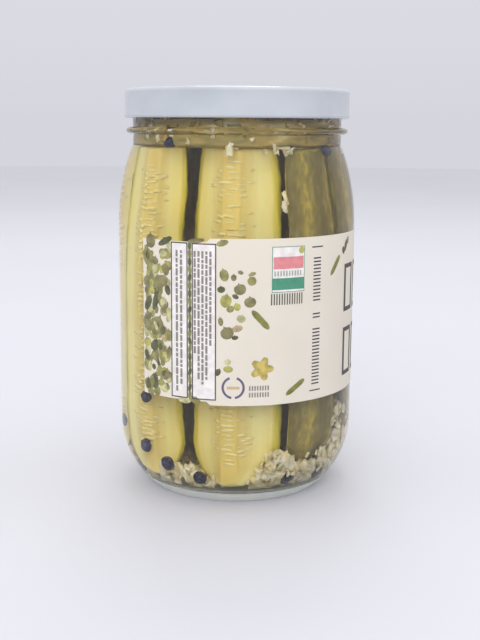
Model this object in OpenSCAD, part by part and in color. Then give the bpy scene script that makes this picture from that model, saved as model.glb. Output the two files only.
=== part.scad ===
// A jar of pickles: a round glass jar with a twist-off steel lid, a label
// wrapped most of the way round, and the brine that fills it to the neck.
// The jar stands on z = 0, its axis is the Z axis, and the middle of the
// label's shown side faces -Y.

/* [Jar body] */
// Outside diameter of the straight wall
body_d = 90; // [84:0.5:110]
// Height from the table to the sealing rim
glass_h = 148.9; // [118:0.1:185]
// Glass thickness of the straight wall and the shoulder
wall = 2.5; // [1.8:0.1:4]
// Glass thickness of the base, under the contents
base_t = 5; // [3:0.1:7]

/* [Heel and foot] */
// Height of the curve from the foot up to the straight wall
heel_h = 24.8; // [18:0.1:30]
// Outside diameter of the ring that the jar stands on
foot_d = 66.6; // [56:0.1:74]
// Width of that ring
foot_w = 3; // [2:0.1:6]
// Rise of the base's underside at its middle
push_up = 2.2; // [1:0.1:4]
// How far the inside corner curve runs in from the wall
inner_heel_run = 17; // [12:0.5:22]

/* [Shoulder and neck] */
// Height of the curve from the straight wall up to the neck
shoulder_h = 30.6; // [24:0.1:38]
// Outside diameter of the neck
neck_d = 78.4; // [70:0.1:80]
// Height of plain neck from the shoulder up to the bead's middle
neck_h = 5.3; // [3:0.1:10]
// How far the bead stands out from the neck
bead_out = 2.5; // [1:0.1:3.2]
// Height of the bead
bead_h = 2.7; // [1.5:0.1:4]
// Radius of the rim's two rounded corners
rim_r = 0.9; // [0.4:0.1:1.1]

/* [Lid] */
// Overall height of the lid
lid_h = 10.6; // [9:0.1:14]
// Steel thickness
lid_t = 0.3; // [0.2:0.05:0.6]
// Clear gap between the lid's skirt and the bead
skirt_gap = 3.2; // [1:0.1:6]
// Radius of the lid's rounded top corner
lid_corner_r = 1.6; // [0.8:0.1:2.5]
// Depth of the sunken middle of the lid
panel_drop = 1.0; // [0.4:0.1:2]
// Diameter of the safety button
button_d = 30; // [16:1:44]
// Depth of the safety button below the sunken middle
button_drop = 0.5; // [0.2:0.1:1]
// Thickness of the sealing compound between rim and lid
seal_t = 0.9; // [0.5:0.1:1.5]
// Radius of the rolled edge
curl_r = 0.8; // [0.5:0.1:1.1]
// How far the rolled edge stands out from the skirt
curl_out = 0.2; // [0:0.05:0.4]

/* [Closure] */
// Number of lugs on the lid, and of ridges on the glass
lugs = 6; // [3:1:8]
// How far the ridges stand out from the neck
ridge_out = 1.9; // [1.2:0.1:2.4]
// Height of a ridge
ridge_h = 1.6; // [1.2:0.1:2.2]
// Angle that one ridge takes
ridge_angle = 40; // [20:1:44]
// Angle that one lug takes
lug_angle = 13; // [8:1:18]
// Clear gap between the lid's skirt and the ridges
lid_clear = 0.65; // [0.3:0.05:1]
// Clear gap between a lug and the neck
lug_clear = 0.5; // [0.2:0.05:0.8]
// Clear gap between a lug and the ridge above it
lug_gap = 0.1; // [0.05:0.05:0.4]

/* [Label] */
// Thickness of the label
label_t = 0.15; // [0.1:0.05:0.5]
// Angle that the label takes round the jar
label_angle = 285; // [120:1:350]
// Angle from the front round to the label's left edge
label_left = 47.5; // [0:0.5:90]
// Bare glass between the label and the shoulder curve
label_top_gap = 0.2; // [0.2:0.1:20]
// Bare glass between the heel curve and the label
label_foot_gap = 15; // [0.2:0.1:20]
// Gap between the label and the glass
label_gap = 0.05; // [0.02:0.01:0.2]

/* [Contents] */
// Free height from the brine up to the rim
headspace = 5.5; // [2:0.1:60]
// Gap between the brine and the glass
brine_gap = 0.05; // [0.02:0.01:0.3]

/* [Hidden] */
$fn = 96;

body_r = body_d / 2;
foot_r = foot_d / 2;
neck_r = neck_d / 2;
bore_r = neck_r - wall;

// Parts of a full quarter turn that the heel and the shoulder curves use
heel_sweep = 52;
shoulder_sweep = 51;
// Points along each curve, and round each small corner
curve_n = 24;
corner_n = 6;

// Heights, from the rim down
lid_top = glass_h + seal_t + lid_t;
lid_bottom = lid_top - lid_h;
bead_z = lid_bottom - skirt_gap - bead_h / 2;
neck_z = bead_z - neck_h;
shoulder_z = neck_z - shoulder_h;
brine_z = glass_h - headspace;

// The lid is sized to pass over the ridges on the neck
ridge_r = neck_r + ridge_out;
skirt_r = ridge_r + lid_clear + lid_t;
curl_z = lid_bottom + curl_r;
curl_mid_r = skirt_r + curl_out - curl_r;
lug_top = lid_bottom + 2 * curl_r;
ridge_z = lug_top + lug_gap;
// The sunken middle of the lid drops inside the mouth
panel_r = bore_r - 1.6;

// Points on an ellipse about [r, z], from angle a0 to a1
function arc(r, z, rr, rz, a0, a1, n) =
    [for (i = [0:n]) let (a = a0 + (a1 - a0) * i / n) [r + rr * cos(a), z + rz * sin(a)]];

// Points on a shallow dome from the axis out to radius r_end
function dome(z_mid, z_end, r_end, n) =
    [for (i = [0:n]) let (s = i / n) [r_end * s, z_end + (z_mid - z_end) * (1 - s * s)]];

function reversed(line) = [for (i = [len(line) - 1:-1:0]) line[i]];

// A side curve that leaves the straight wall of radius r at height z and
// ends at radius r_end and height z_end, after turning by the angle sweep
function side_curve(r, z, r_end, z_end, sweep, n) =
    let (rr = (r - r_end) / (1 - cos(sweep)), rz = (z_end - z) / sin(sweep))
    arc(r - rr, z, rr, rz, 0, sweep, n);

// Outside of the glass, from the middle of the base up to the neck
function outer_line() = concat(
    dome(push_up, 0, foot_r - foot_w, corner_n),
    reversed(side_curve(body_r, heel_h, foot_r, 0, heel_sweep, curve_n)),
    side_curve(body_r, shoulder_z, neck_r, neck_z, shoulder_sweep, curve_n));

// Inside of the glass over the same stretch, moved inwards by a gap
function inner_line(gap) = concat(
    dome(push_up + base_t + gap, base_t + gap, body_r - wall - inner_heel_run, corner_n),
    reversed(arc(body_r - wall - inner_heel_run, heel_h, inner_heel_run - gap,
                 base_t + gap - heel_h, 0, 90, curve_n)),
    side_curve(body_r - wall - gap, shoulder_z, bore_r - gap, neck_z, shoulder_sweep, curve_n));

// The bead and the rim, from the neck up and over into the mouth
function finish_line() = concat(
    arc(neck_r, bead_z, bead_out, bead_h / 2, -90, 90, 2 * corner_n),
    arc(neck_r - rim_r, glass_h - rim_r, rim_r, rim_r, 0, 90, corner_n),
    arc(bore_r + rim_r, glass_h - rim_r, rim_r, rim_r, 90, 180, corner_n));

// The lid's sheet from the middle of the top to the foot of the skirt,
// on its outside when inset is 0 and on its inside when inset is lid_t
function lid_line(inset) = concat(
    [[0, lid_top - panel_drop - button_drop - inset],
     [button_d / 2 - 1, lid_top - panel_drop - button_drop - inset],
     [button_d / 2, lid_top - panel_drop - inset],
     [panel_r - 1, lid_top - panel_drop - inset],
     [panel_r, lid_top - inset]],
    arc(skirt_r - lid_corner_r, lid_top - lid_corner_r,
        lid_corner_r - inset, lid_corner_r - inset, 90, 0, corner_n),
    [[skirt_r - inset, curl_z]]);

// Ring segment of a rectangle r0..r1 by z0..z1, about the direction a
module segment(r0, r1, z0, z1, a, sweep) {
    rotate([0, 0, a - sweep / 2])
        rotate_extrude(angle = sweep)
            translate([r0, z0])
                square([r1 - r0, z1 - z0]);
}

module jar() {
    color("honeydew", 0.4)
        union() {
            rotate_extrude()
                polygon(concat(outer_line(), finish_line(), reversed(inner_line(0))));
            for (i = [0:lugs - 1])
                segment(neck_r - wall / 2, ridge_r, ridge_z, ridge_z + ridge_h, i * 360 / lugs, ridge_angle);
        }
}

module lid() {
    color("white")
        union() {
            rotate_extrude()
                polygon(concat(lid_line(0), reversed(lid_line(lid_t))));
            // Rolled edge
            rotate_extrude()
                translate([curl_mid_r, curl_z])
                    circle(r = curl_r);
            // Sealing compound, which meets the rim
            rotate_extrude()
                translate([bore_r, glass_h])
                    square([neck_r - bore_r + ridge_out / 2, seal_t + lid_t / 2]);
            // Lugs, turned in from the rolled edge under the ridges
            for (i = [0:lugs - 1])
                segment(neck_r + lug_clear, curl_mid_r, lid_bottom + curl_r / 2, lug_top,
                        i * 360 / lugs, lug_angle);
        }
}

module label() {
    label_z0 = heel_h + label_foot_gap;
    label_z1 = shoulder_z - label_top_gap;
    color("linen")
        rotate([0, 0, -90 - label_left])
            rotate_extrude(angle = label_angle)
                translate([body_r + label_gap, label_z0])
                    square([label_t, label_z1 - label_z0]);
}

module brine() {
    color("darkkhaki", 0.6)
        intersection() {
            rotate_extrude()
                polygon(concat(inner_line(brine_gap), [[bore_r - brine_gap, glass_h], [0, glass_h]]));
            cylinder(r = body_r, h = brine_z);
        }
}

jar();
lid();
label();
brine();
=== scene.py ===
# %% [markdown]
# # A jar of pickle spears
#
# A clear glass jar with a white twist-off lid and a cream paper label, full of cucumber spears,
# chopped garlic and peppercorns in brine. The engineering model gives the sizes and places.
# This lesson gives each piece its finished surface and makes what floats in the brine.

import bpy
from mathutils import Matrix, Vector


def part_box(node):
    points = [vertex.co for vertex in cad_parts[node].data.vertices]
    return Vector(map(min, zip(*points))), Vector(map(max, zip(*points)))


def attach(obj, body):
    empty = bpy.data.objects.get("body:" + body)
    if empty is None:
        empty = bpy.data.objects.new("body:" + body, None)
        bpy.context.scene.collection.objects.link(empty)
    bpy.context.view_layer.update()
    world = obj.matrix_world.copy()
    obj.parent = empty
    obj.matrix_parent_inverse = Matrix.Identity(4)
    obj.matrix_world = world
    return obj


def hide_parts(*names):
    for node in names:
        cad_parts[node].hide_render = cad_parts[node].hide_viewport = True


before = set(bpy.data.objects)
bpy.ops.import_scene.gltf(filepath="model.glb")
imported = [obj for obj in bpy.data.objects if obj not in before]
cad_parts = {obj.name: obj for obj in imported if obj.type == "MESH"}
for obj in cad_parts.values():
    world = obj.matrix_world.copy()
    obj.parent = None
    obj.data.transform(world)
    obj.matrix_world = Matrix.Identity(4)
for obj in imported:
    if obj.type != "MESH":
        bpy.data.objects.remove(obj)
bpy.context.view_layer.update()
print("nodes in the frame:", sorted(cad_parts))

# %% [markdown]
# ## Sizes
#
# Lengths are in metres, so a drawing's millimetres are multiplied by MM. Heights and outside
# radii are read from the frame. The glass thickness and the curves are the drawing's own.

# %% Read the sizes
import math
import random

import bmesh
import bpy
import numpy as np
from mathutils import Euler, Matrix, Vector

MM = 0.001
jar_low, jar_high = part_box("jar")
lid_low, lid_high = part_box("lid")
label_low, label_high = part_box("label")
brine_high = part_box("brine")[1]

BODY_R = round(jar_high.x, 4)
RIM_Z = jar_high.z
WALL = 2.5 * MM
print(f"body {2000 * BODY_R:.1f} mm across, rim at {1000 * RIM_Z:.1f} mm, lid top at {1000 * lid_high.z:.1f} mm")

# %% [markdown]
# ## Helpers for modelling
#
# A Blender operator works on whatever is selected, so each step starts by clearing the
# selection. In edit mode, faces and points are then chosen by where they are.

# %% Select in code
def clear_selection():
    """Leaves edit mode and selects nothing."""
    if bpy.context.object and bpy.context.object.mode == "EDIT":
        bpy.ops.object.mode_set(mode="OBJECT")
    bpy.ops.object.select_all(action="DESELECT")


def edit(piece):
    """Selects one piece and opens it in edit mode, ready to select points."""
    clear_selection()
    piece.select_set(True)
    bpy.context.view_layer.objects.active = piece
    bpy.ops.object.mode_set(mode="EDIT")
    bpy.ops.mesh.select_mode(type="VERT")


def pick_points(test):
    """In edit mode, selects the points whose place passes the test."""
    data = bpy.context.object.data
    mesh = bmesh.from_edit_mesh(data)
    bpy.ops.mesh.select_mode(type="VERT")
    bpy.ops.mesh.select_all(action="DESELECT")
    for point in mesh.verts:
        point.select_set(test(point.co))
    mesh.select_flush_mode()
    bmesh.update_edit_mesh(data)


def pick_faces(test):
    """In edit mode, selects the faces whose middle and normal pass the test."""
    data = bpy.context.object.data
    mesh = bmesh.from_edit_mesh(data)
    bpy.ops.mesh.select_mode(type="FACE")
    bpy.ops.mesh.select_all(action="DESELECT")
    for face in mesh.faces:
        face.select_set(test(face.calc_center_median(), face.normal))
    bmesh.update_edit_mesh(data)


def place_in_mesh(piece):
    """Moves a piece's place, turn and size from its object into its mesh."""
    clear_selection()
    piece.select_set(True)
    bpy.context.view_layer.objects.active = piece
    bpy.ops.object.transform_apply(location=True, rotation=True, scale=True)


def apply_modifier(piece, kind, **settings):
    """Adds a modifier, sets it and applies it."""
    clear_selection()
    piece.select_set(True)
    bpy.context.view_layer.objects.active = piece
    modifier = piece.modifiers.new(kind.lower(), kind)
    for name, value in settings.items():
        setattr(modifier, name, value)
    bpy.ops.object.modifier_apply(modifier=modifier.name)


def smooth(piece, angle=40):
    """Shades a piece smooth, and leaves edges sharper than the angle."""
    clear_selection()
    piece.select_set(True)
    bpy.context.view_layer.objects.active = piece
    bpy.ops.object.shade_smooth_by_angle(angle=math.radians(angle))


def join(name, pieces):
    """Joins pieces into one."""
    clear_selection()
    for piece in pieces:
        piece.select_set(True)
    bpy.context.view_layer.objects.active = pieces[0]
    if len(pieces) > 1:
        bpy.ops.object.join()
    pieces[0].name = name
    pieces[0].data.name = name
    return pieces[0]


def copy_of(piece, name):
    """A copy with its own mesh."""
    made = piece.copy()
    made.data = piece.data.copy()
    made.name = name
    bpy.context.scene.collection.objects.link(made)
    return made


print("modelling helpers ready")

# %% [markdown]
# ## Turned shapes
#
# A jar, a lid and a body of liquid are all round about one axis. By hand you would draw half
# the outline and spin it. Here a ring is extruded upwards and resized, point by point along
# the outline, which gives clean bands of quads. The two ends close in a point on the axis.

# %% Turn a shape on the axis
TURN_STEPS = 192
POLE = 0.3 * MM


def close_pole(height):
    """Closes the small ring at a height with a fan of triangles."""
    pick_points(lambda p: abs(p.z - height) < 1e-6 and math.hypot(p.x, p.y) < 1.5 * POLE)
    bpy.ops.mesh.extrude_region_move()
    bpy.ops.mesh.merge(type="CENTER")


def turn(name, outline, steps=TURN_STEPS):
    """A turned shape from a list of (radius, height) points that starts and ends on the axis."""
    outline = [(max(radius, POLE), height) for radius, height in outline]
    clear_selection()
    radius, height = outline[0]
    bpy.ops.mesh.primitive_circle_add(vertices=steps, radius=radius, location=(0, 0, height))
    piece = bpy.context.object
    piece.name = name
    piece.data.name = name
    place_in_mesh(piece)
    edit(piece)
    bpy.ops.mesh.select_all(action="SELECT")
    for next_radius, next_height in outline[1:]:
        bpy.ops.mesh.extrude_region_move(TRANSFORM_OT_translate={"value": (0, 0, next_height - height)})
        grow = next_radius / radius
        bpy.ops.transform.resize(value=(grow, grow, 1), center_override=(0, 0, next_height))
        radius, height = next_radius, next_height
    close_pole(outline[-1][1])
    close_pole(outline[0][1])
    bpy.ops.mesh.select_all(action="SELECT")
    bpy.ops.mesh.normals_make_consistent(inside=False)
    bpy.ops.object.mode_set(mode="OBJECT")
    smooth(piece)
    return piece


def arc(radius, height, across, up, start, end, n):
    """Points on an ellipse about (radius, height), from one angle in degrees to another."""
    angles = [math.radians(start + (end - start) * i / n) for i in range(n + 1)]
    return [(radius + across * math.cos(a), height + up * math.sin(a)) for a in angles]


def side_curve(radius, height, end_radius, end_height, sweep, n):
    """A curve that leaves an upright wall and ends at another radius after a turn of sweep."""
    across = (radius - end_radius) / (1 - math.cos(math.radians(sweep)))
    up = (end_height - height) / math.sin(math.radians(sweep))
    return arc(radius - across, height, across, up, 0, sweep, n)


def dome(middle, edge, edge_radius, n):
    """Points on a shallow dome, from the axis out to edge_radius."""
    steps = [i / n for i in range(n + 1)]
    return [(edge_radius * s, edge + (middle - edge) * (1 - s * s)) for s in steps]


print("turning helpers ready")

# %% [markdown]
# ## Materials
#
# Colours are picked as the sRGB hex values that a paint program shows, and one function turns
# them to the linear values that a shader needs. One more adds a node with its settings and
# links, so that each material below reads as a short recipe.

# %% Helpers for materials
def linear(hex_colour):
    """An sRGB hex colour as linear red, green, blue and alpha."""
    parts = [int(hex_colour[i:i + 2], 16) / 255 for i in (1, 3, 5)]
    return tuple(c / 12.92 if c <= 0.04045 else ((c + 0.055) / 1.055) ** 2.4 for c in parts) + (1.0,)


def add_node(tree, kind, settings=None, stops=None, **inputs):
    """Adds a node, sets its properties and ramp stops, then sets or links each named input."""
    made = tree.nodes.new(kind)
    for name, value in (settings or {}).items():
        setattr(made, name, value)
    for i, (place, colour) in enumerate(stops or []):
        stop = made.color_ramp.elements[i] if i < 2 else made.color_ramp.elements.new(place)
        stop.position = place
        stop.color = colour
    for name, value in inputs.items():
        socket = made.inputs[int(name[1:]) if name[1:].isdigit() else name.replace("_", " ")]
        if isinstance(value, bpy.types.NodeSocket):
            tree.links.new(value, socket)
        else:
            socket.default_value = value
    return made


def new_material(name):
    """An empty material with its output node, and its node tree."""
    made = bpy.data.materials.new(name)
    made.use_nodes = True
    made.node_tree.nodes.clear()
    return made, made.node_tree


def finish_material(tree, **shader):
    """Adds the surface shader with its sockets set or linked, and joins it to the output."""
    surface = add_node(tree, "ShaderNodeBsdfPrincipled", **shader)
    return add_node(tree, "ShaderNodeOutputMaterial", Surface=surface.outputs[0])


def let_lamps_through(tree, output):
    """Lets light reach what stands behind clear glass or liquid, which a render else leaves too dark."""
    clear = add_node(tree, "ShaderNodeBsdfTransparent", Color=linear("#f6f7f2"))
    surface = output.inputs["Surface"].links[0].from_socket
    lamp_ray = add_node(tree, "ShaderNodeLightPath").outputs["Is Shadow Ray"]
    both = add_node(tree, "ShaderNodeMixShader", _0=lamp_ray, _1=surface, _2=clear.outputs[0])
    tree.links.new(both.outputs[0], output.inputs["Surface"])


def object_place(tree):
    """The place on the piece, in metres."""
    return add_node(tree, "ShaderNodeTexCoord").outputs["Object"]


def give(piece, *materials):
    """Gives a piece its materials, in slot order."""
    piece.data.materials.clear()
    for material in materials:
        piece.data.materials.append(material)


print("material helpers ready")

# %% [markdown]
# ### Soda-lime glass
#
# Jars are blown in an iron mould, so the wall is never quite even: broad, shallow ripples bend
# what lies behind. That is a low bump about 12 mm across. The glass itself is colourless with
# a breath of green from iron, and its index of refraction is 1.52.

# %% Blown soda-lime glass
def soda_lime_glass(name, roughness):
    made, tree = new_material(name)
    ripples = add_node(tree, "ShaderNodeTexNoise", Vector=object_place(tree), Scale=1 / (12 * MM), Detail=1.0)
    bump = add_node(tree, "ShaderNodeBump", Strength=0.05, Distance=0.4 * MM, Height=ripples.outputs[0])
    output = finish_material(tree, Base_Color=linear("#fdfffd"), Roughness=roughness, IOR=1.52,
                             Transmission_Weight=1.0, Normal=bump.outputs[0])
    let_lamps_through(tree, output)
    return made


STIPPLED_SHARE = 0.6


def stippled(made):
    """Fine bumps on the underside scatter part of the light, so that it looks frosted."""
    tree = made.node_tree
    surface = [node for node in tree.nodes if node.type == "OUTPUT_MATERIAL"][0].inputs["Surface"]
    front = surface.links[0].from_socket
    frost = add_node(tree, "ShaderNodeBsdfDiffuse", Color=linear("#f2f6f2"))
    both = add_node(tree, "ShaderNodeMixShader", _0=STIPPLED_SHARE, _1=front, _2=frost.outputs[0])
    tree.links.new(both.outputs[0], surface)
    return made


glass = soda_lime_glass("soda_lime_glass", 0.0)
stippled_glass = stippled(soda_lime_glass("stippled_foot_glass", 0.4))
print("made", glass.name, "and", stippled_glass.name)

# %% [markdown]
# ### Brine
#
# Brine is water with vinegar, salt and what the cucumbers give up. Close to the wall it looks
# clear, and deep gaps look olive, because it soaks up blue over the path that light takes.
# So the surface stays clear and the colour is in the volume. Where it meets glass, light bends
# by the ratio of the two indices, 1.345 over 1.52. Only its free surface meets air. The wetted
# side of the glass bends nothing more, so it is left fully clear.

# %% Brine
GLASS_IOR = 1.52
BRINE_IOR = 1.345


def brine_liquid(name, ior):
    made, tree = new_material(name)
    output = finish_material(tree, Base_Color=linear("#ffffff"), Roughness=0.0, IOR=ior, Transmission_Weight=1.0)
    depth = add_node(tree, "ShaderNodeVolumeAbsorption", Color=linear("#f6e08c"), Density=12.0)
    tree.links.new(depth.outputs[0], output.inputs["Volume"])
    let_lamps_through(tree, output)
    return made


def wetted_glass():
    made, tree = new_material("wetted_side_of_the_glass")
    clear = add_node(tree, "ShaderNodeBsdfTransparent", Color=linear("#ffffff"))
    add_node(tree, "ShaderNodeOutputMaterial", Surface=clear.outputs[0])
    return made


brine_look = brine_liquid("pickling_brine", BRINE_IOR / GLASS_IOR)
brine_top_look = brine_liquid("brine_surface", BRINE_IOR)
wetted = wetted_glass()
print("made", brine_look.name, "with index", round(BRINE_IOR / GLASS_IOR, 3), "beside glass")

# %% [markdown]
# ## The glass jar
#
# The outline runs from the middle of the base out over the foot, up the straight wall and the
# long shoulder, round the bead and the rim, and back down the inside. It is the drawing's
# outline with finer curves, because a facet would show as a streak in what the glass bends.

# %% Turn the jar
HEEL_Z = 24.8 * MM
FOOT_R = 33.3 * MM
FOOT_W = 3.0 * MM
PUSH_UP = 2.2 * MM
BASE = 5.0 * MM
INNER_HEEL = 17.0 * MM
NECK_R = 39.2 * MM
BORE_R = NECK_R - WALL
BEAD_OUT = 2.5 * MM
BEAD_H = 2.7 * MM
RIM_R = 0.9 * MM
LID_H = lid_high.z - lid_low.z
BEAD_Z = lid_low.z - 3.2 * MM - BEAD_H / 2
NECK_Z = BEAD_Z - 5.3 * MM
SHOULDER_Z = NECK_Z - 30.6 * MM
HEEL_SWEEP = 52
SHOULDER_SWEEP = 51
FINE = 40


def outer_outline():
    heel = side_curve(BODY_R, HEEL_Z, FOOT_R, 0, HEEL_SWEEP, FINE)[::-1]
    wall = [(BODY_R, HEEL_Z + (SHOULDER_Z - HEEL_Z) * i / 8) for i in range(1, 8)]
    shoulder = side_curve(BODY_R, SHOULDER_Z, NECK_R, NECK_Z, SHOULDER_SWEEP, FINE)
    return dome(PUSH_UP, 0, FOOT_R - FOOT_W, 10) + heel + wall + shoulder


def inner_outline(out=0.0):
    """The inside of the glass up to the neck, moved outwards into the wall by out."""
    floor_r = BODY_R - WALL - INNER_HEEL
    floor = dome(PUSH_UP + BASE - out, BASE - out, floor_r, 10)
    heel = arc(floor_r, HEEL_Z, INNER_HEEL + out, BASE - HEEL_Z - out, 90, 0, FINE)
    wall = [(BODY_R - WALL + out, HEEL_Z + (SHOULDER_Z - HEEL_Z) * i / 8) for i in range(1, 8)]
    shoulder = side_curve(BODY_R - WALL + out, SHOULDER_Z, BORE_R + out, NECK_Z, SHOULDER_SWEEP, FINE)
    return floor[:-1] + heel + wall + shoulder


def finish_outline():
    bead = arc(NECK_R, BEAD_Z, BEAD_OUT, BEAD_H / 2, -90, 90, 20)
    outer_lip = arc(NECK_R - RIM_R, RIM_Z - RIM_R, RIM_R, RIM_R, 0, 90, 8)
    inner_lip = arc(BORE_R + RIM_R, RIM_Z - RIM_R, RIM_R, RIM_R, 90, 180, 8)
    ridges = [(NECK_R, RIDGE_Z), (NECK_R, RIDGE_Z + RIDGE_H)]
    return bead + ridges + outer_lip + inner_lip


INSIDE = inner_outline()[11:]
MENISCUS = 1.2 * MM
WET_Z = brine_high.z + MENISCUS / 2


def inner_radius(height):
    """The radius of the inside of the glass at a height."""
    return float(np.interp(height, [z for r, z in INSIDE], [r for r, z in INSIDE]))


RIDGE_Z = lid_low.z + 1.7 * MM
RIDGE_H = 1.6 * MM
RIDGE_OUT = 1.9 * MM
jar = turn("glass_jar", outer_outline() + finish_outline() + [(BORE_R, WET_Z)] + inner_outline()[::-1])
print("glass jar:", len(jar.data.polygons), "faces")

# %% [markdown]
# Six short ridges on the neck hold the lid. They are raised from the band of faces that the
# outline left for them: the faces within 20 degrees of each lug are extruded and pushed out.

# %% Raise the ridges that hold the lid
LUGS = 6
RIDGE_HALF_ANGLE = 20


def near_lug(place):
    turned = math.degrees(math.atan2(place.y, place.x)) % (360 / LUGS)
    return min(turned, 360 / LUGS - turned) < RIDGE_HALF_ANGLE


edit(jar)
pick_faces(lambda p, n: RIDGE_Z < p.z < RIDGE_Z + RIDGE_H and math.hypot(p.x, p.y) > NECK_R - 0.5 * MM
           and near_lug(p))
bpy.ops.mesh.extrude_region_move()
push = (NECK_R + RIDGE_OUT) / NECK_R
bpy.ops.transform.resize(value=(push, push, 1), center_override=(0, 0, 0))

# The ring that the jar stands on is stippled, so that it doesn't scratch a conveyor
give(jar, glass, stippled_glass, wetted)
pick_faces(lambda p, n: n.z < -0.3 and p.z < 4.4 * MM)
jar.active_material_index = 1
bpy.ops.object.material_slot_assign()
pick_faces(lambda p, n: 4.5 * MM < p.z < WET_Z and math.hypot(p.x, p.y) < inner_radius(p.z) + 0.5 * MM)
jar.active_material_index = 2
bpy.ops.object.material_slot_assign()
clear_selection()
print("ridges out to", round(1000 * (NECK_R + RIDGE_OUT), 1), "mm")

# %% [markdown]
# ## The brine
#
# Liquid wets the glass, so there is no air between them. Its surface is turned a third of a
# millimetre out into the wall: light then bends as it does from glass to brine. At the top it
# climbs the wall a little, which is the meniscus.

# %% Turn the brine
BRINE_REACH = 0.35 * MM


def brine_outline():
    top = brine_high.z
    edge = BORE_R + BRINE_REACH
    meniscus = [(edge, top + MENISCUS / 2)] + [
        (BORE_R - MENISCUS * (1 - math.cos(math.radians(a))), top + MENISCUS / 2 * (1 - math.sin(math.radians(a))))
        for a in (10, 30, 50, 70, 90)]
    return inner_outline(BRINE_REACH) + meniscus + [(edge / 2, top), (0, top)]


brine = turn("brine_body", brine_outline())
give(brine, brine_look, brine_top_look)
edit(brine)
pick_faces(lambda p, n: p.z > brine_high.z - 0.1 * MM and n.z > 0.1)
brine.active_material_index = 1
bpy.ops.object.material_slot_assign()
clear_selection()
print("brine up to", round(1000 * brine_high.z, 1), "mm")

# %% [markdown]
# ## The twist-off lid
#
# A lid is pressed from tinplate 0.3 mm thick: a flat rim over the glass, a middle that drops
# inside the mouth, a safety button, and an edge rolled inwards so that it can't cut. The
# outline goes out along the top, down the skirt, round the roll and back along the underside.

# %% Turn the lid
LID_T = 0.3 * MM
SKIRT_R = NECK_R + RIDGE_OUT + 0.65 * MM + LID_T
CORNER = 1.6 * MM
PANEL_R = BORE_R - 1.6 * MM
PANEL_DROP = 1.0 * MM
BUTTON_R = 15.0 * MM
BUTTON_DROP = 0.5 * MM
CURL_R = 0.8 * MM
CURL_MID = SKIRT_R + 0.2 * MM - CURL_R
CURL_Z = lid_low.z + CURL_R
LID_TOP = lid_high.z


def ease(radius, height, next_radius, next_height, n=8):
    """A soft step from one height to another, as a press leaves it."""
    steps = [i / n for i in range(n + 1)]
    return [(radius + (next_radius - radius) * s, height + (next_height - height) * s * s * (3 - 2 * s))
            for s in steps]


def sheet_line(inset):
    """The lid's sheet from the axis to the skirt: its outside, or its inside when inset."""
    panel = LID_TOP - PANEL_DROP - inset
    button = ease(BUTTON_R - 2.5 * MM, panel - BUTTON_DROP, BUTTON_R + 1.0 * MM, panel)
    wall = ease(PANEL_R - 1.6 * MM, panel, PANEL_R + 0.5 * MM, LID_TOP - inset)
    corner = arc(SKIRT_R - CORNER, LID_TOP - CORNER, CORNER - inset, CORNER - inset, 90, 0, 12)
    return [(0, panel - BUTTON_DROP)] + button + wall + corner


def lid_outline():
    outer_start = math.degrees(math.acos((SKIRT_R - CURL_MID) / CURL_R))
    inner_end = math.degrees(math.acos((SKIRT_R - LID_T - CURL_MID) / CURL_R))
    roll = arc(CURL_MID, CURL_Z, CURL_R, CURL_R, outer_start, inner_end - 360, 24)
    return sheet_line(0) + roll + sheet_line(LID_T)[::-1]


lid = turn("steel_lid", lid_outline())
print("lid", round(2000 * (CURL_MID + CURL_R), 1), "mm over its rolled edge")

# %% [markdown]
# Six lugs turn in from the roll and hook under the ridges on the glass. One is made from a
# small block with bevelled edges, and copied round the lid.

# %% Make one lug and copy it round
LUG_IN = NECK_R + 0.5 * MM
LUG_HIGH = CURL_Z + CURL_R
LUG_LOW = CURL_Z - CURL_R / 2
LUG_WIDE = 2 * CURL_MID * math.tan(math.radians(6.5))

clear_selection()
bpy.ops.mesh.primitive_cube_add(size=1, location=((LUG_IN + CURL_MID) / 2, 0, (LUG_HIGH + LUG_LOW) / 2))
lug = bpy.context.object
lug.scale = (CURL_MID - LUG_IN, LUG_WIDE, LUG_HIGH - LUG_LOW)
place_in_mesh(lug)
apply_modifier(lug, "BEVEL", width=0.35 * MM, segments=3)
lug_copies = []
for i in range(LUGS):
    made = copy_of(lug, f"lug_{i}")
    made.rotation_euler = (0, 0, math.radians(360 / LUGS * i))
    place_in_mesh(made)
    lug_copies.append(made)
bpy.data.objects.remove(lug)
lid = join("steel_lid", [lid] + lug_copies)
smooth(lid)
print("lid with", LUGS, "lugs:", len(lid.data.polygons), "faces")

# %% [markdown]
# ### White enamel and gold lacquer
#
# The outside is a baked white enamel: smooth and glossy, with a slight orange-peel surface
# where the wet coat drew together. The inside has a gold lacquer against the vinegar. The
# underside and the lugs get it: they are picked by the direction that their faces look.

# %% Paint the lid
def white_enamel():
    made, tree = new_material("white_baked_enamel")
    place = object_place(tree)
    peel = add_node(tree, "ShaderNodeTexNoise", Vector=place, Scale=1 / (1.8 * MM), Detail=2.0)
    bump = add_node(tree, "ShaderNodeBump", Strength=0.12, Distance=0.04 * MM, Height=peel.outputs[0])
    drift = add_node(tree, "ShaderNodeTexNoise", Vector=place, Scale=1 / (22 * MM), Detail=3.0)
    tint = add_node(tree, "ShaderNodeValToRGB", Fac=drift.outputs[0],
                    stops=[(0.35, linear("#b2b8be")), (0.65, linear("#bec3c9"))])
    finish_material(tree, Base_Color=tint.outputs[0], Roughness=0.24, Normal=bump.outputs[0],
                    Coat_Weight=0.35, Coat_Roughness=0.12)
    return made


def gold_lacquer():
    made, tree = new_material("gold_lacquer")
    drift = add_node(tree, "ShaderNodeTexNoise", Vector=object_place(tree), Scale=1 / (6 * MM), Detail=3.0)
    tint = add_node(tree, "ShaderNodeValToRGB", Fac=drift.outputs[0],
                    stops=[(0.3, linear("#b48f55")), (0.7, linear("#c9a76a"))])
    finish_material(tree, Base_Color=tint.outputs[0], Roughness=0.3, Metallic=0.6)
    return made


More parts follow.
